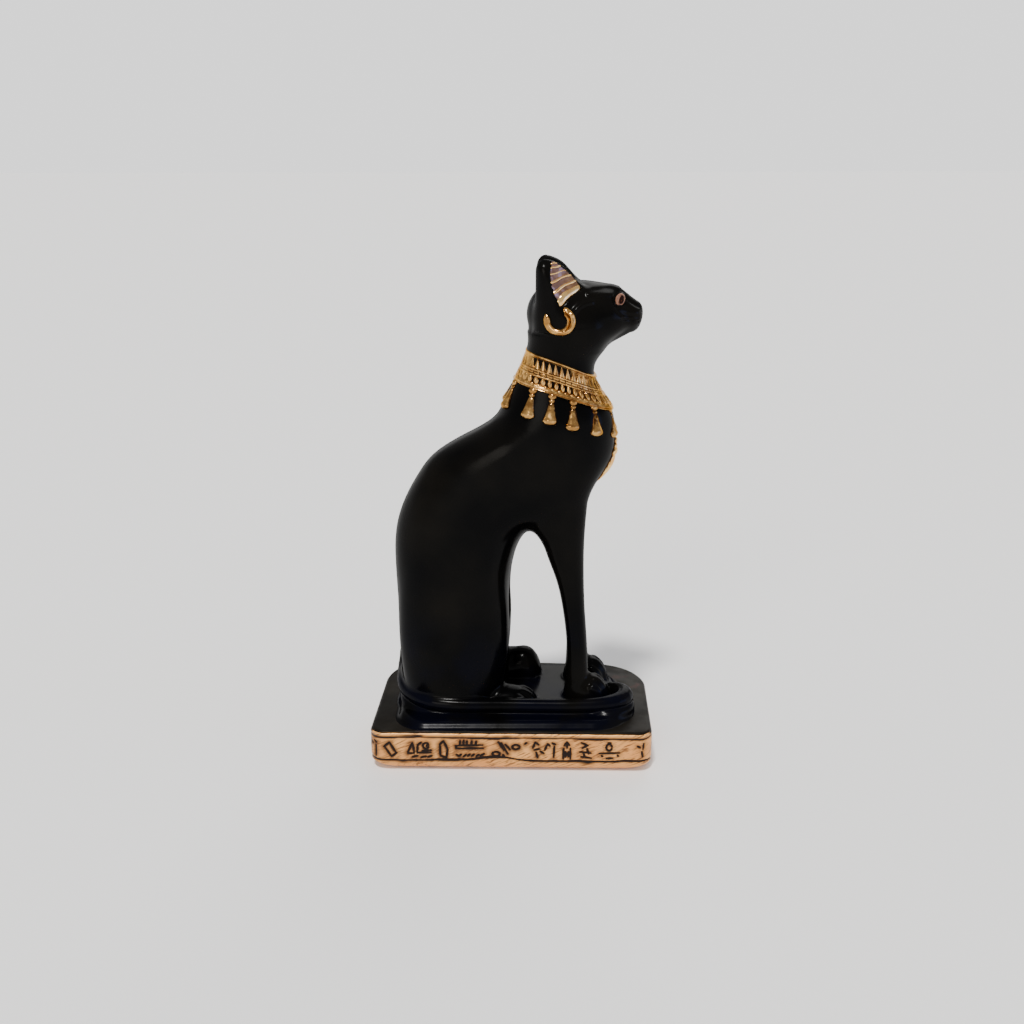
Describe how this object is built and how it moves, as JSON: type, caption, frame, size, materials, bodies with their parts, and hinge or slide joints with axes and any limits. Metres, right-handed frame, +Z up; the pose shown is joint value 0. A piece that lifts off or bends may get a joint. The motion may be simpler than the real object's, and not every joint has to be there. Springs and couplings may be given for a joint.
{
  "type": "bastet cat figure",
  "caption": "Seated Egyptian cat on a low plinth, with an openwork arch between hind legs and forelegs, relief collar with hanging bells, pectoral, earrings and a curled tail.",
  "frame": {"origin": "middle of the plinth's underside", "axes": "the cat faces +X, +Z is up, and the cat's right side, with the tail, is at -Y"},
  "size_m": [0.085, 0.0536, 0.1505],
  "materials": {
    "black_gloss": "gloss black paint on cast resin, with gold and copper painted relief"
  },
  "bodies": {
    "root": {"bastet_cat": "black_gloss"}
  },
  "joints": []
}
